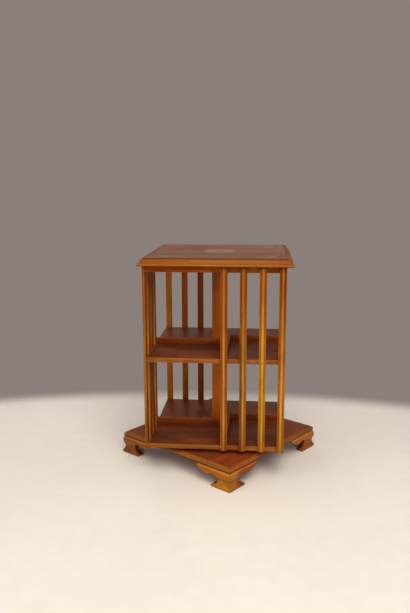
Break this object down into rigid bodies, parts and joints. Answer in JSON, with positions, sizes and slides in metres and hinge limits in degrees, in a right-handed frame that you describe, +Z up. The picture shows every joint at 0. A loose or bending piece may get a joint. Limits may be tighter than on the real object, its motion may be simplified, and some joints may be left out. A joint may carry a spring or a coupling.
{
  "type": "revolving bookcase",
  "caption": "Square open-sided revolving bookcase with reeded slats and book stops, turning on a low base with ogee bracket feet.",
  "frame": {"origin": "on the floor, on the spindle's axis", "axes": "+Z up along the spindle; the case's faces lie along X and Y with its front at -Y; at rest the base is turned by 54 degrees under the case"},
  "size_m": [0.5588, 0.5588, 0.584],
  "materials": {
    "base_veneer": "polished, worn",
    "plain_wood": "unfinished",
    "steel": "brushed",
    "brass": "satin",
    "shelf_wood": "polished, worn",
    "case_top_wood": "polished, worn",
    "top_veneer": "polished, worn",
    "base_edge_wood": "polished, worn",
    "foot_wood": "polished, worn",
    "column_wood": "polished, worn",
    "stop_wood": "polished, worn",
    "top_edge_wood": "polished, worn",
    "slat_wood": "polished, worn"
  },
  "bodies": {
    "base": {"base_board": "base_veneer", "foot_blocks": "plain_wood", "spindle": "steel", "spindle_nut": "steel", "lower_race": "steel", "base_edge_front": "base_edge_wood", "front_foot_right_bracket": "foot_wood", "front_foot_left_bracket": "foot_wood", "base_edge_right": "base_edge_wood", "right_foot_right_bracket": "foot_wood", "right_foot_left_bracket": "foot_wood", "base_edge_back": "base_edge_wood", "back_foot_right_bracket": "foot_wood", "back_foot_left_bracket": "foot_wood", "base_edge_left": "base_edge_wood", "left_foot_right_bracket": "foot_wood", "left_foot_left_bracket": "foot_wood"},
    "ball_ring": {"ball_cage": "brass", "bearing_balls": "steel"},
    "case": {"bottom_shelf": "shelf_wood", "middle_shelf": "shelf_wood", "case_top": "case_top_wood", "upper_race": "steel", "lower_bush": "brass", "upper_bush": "brass", "top_board": "top_veneer", "column_board_front": "column_wood", "lower_book_stop_front": "stop_wood", "upper_book_stop_front": "stop_wood", "top_edge_front": "top_edge_wood", "front_slat_1": "slat_wood", "front_slat_2": "slat_wood", "front_slat_3": "slat_wood", "front_slat_4": "slat_wood", "column_board_right": "column_wood", "lower_book_stop_right": "stop_wood", "upper_book_stop_right": "stop_wood", "top_edge_right": "top_edge_wood", "right_slat_1": "slat_wood", "right_slat_2": "slat_wood", "right_slat_3": "slat_wood", "right_slat_4": "slat_wood", "column_board_back": "column_wood", "lower_book_stop_back": "stop_wood", "upper_book_stop_back": "stop_wood", "top_edge_back": "top_edge_wood", "back_slat_1": "slat_wood", "back_slat_2": "slat_wood", "back_slat_3": "slat_wood", "back_slat_4": "slat_wood", "column_board_left": "column_wood", "lower_book_stop_left": "stop_wood", "upper_book_stop_left": "stop_wood", "top_edge_left": "top_edge_wood", "left_slat_1": "slat_wood", "left_slat_2": "slat_wood", "left_slat_3": "slat_wood", "left_slat_4": "slat_wood"}
  },
  "joints": [
    {"name": "case_spin", "type": "hinge", "parent": "base", "child": "case", "pos_m": [0, 0, 0.0685], "axis": [0, 0, 1], "continuous": true},
    {"name": "ball_ring_spin", "type": "hinge", "parent": "base", "child": "ball_ring", "pos_m": [0, 0, 0.0685], "axis": [0, 0, 1], "continuous": true}
  ],
  "couplings": [
    {"joint": "ball_ring_spin", "follows": "case_spin", "ratio": 0.5}
  ]
}
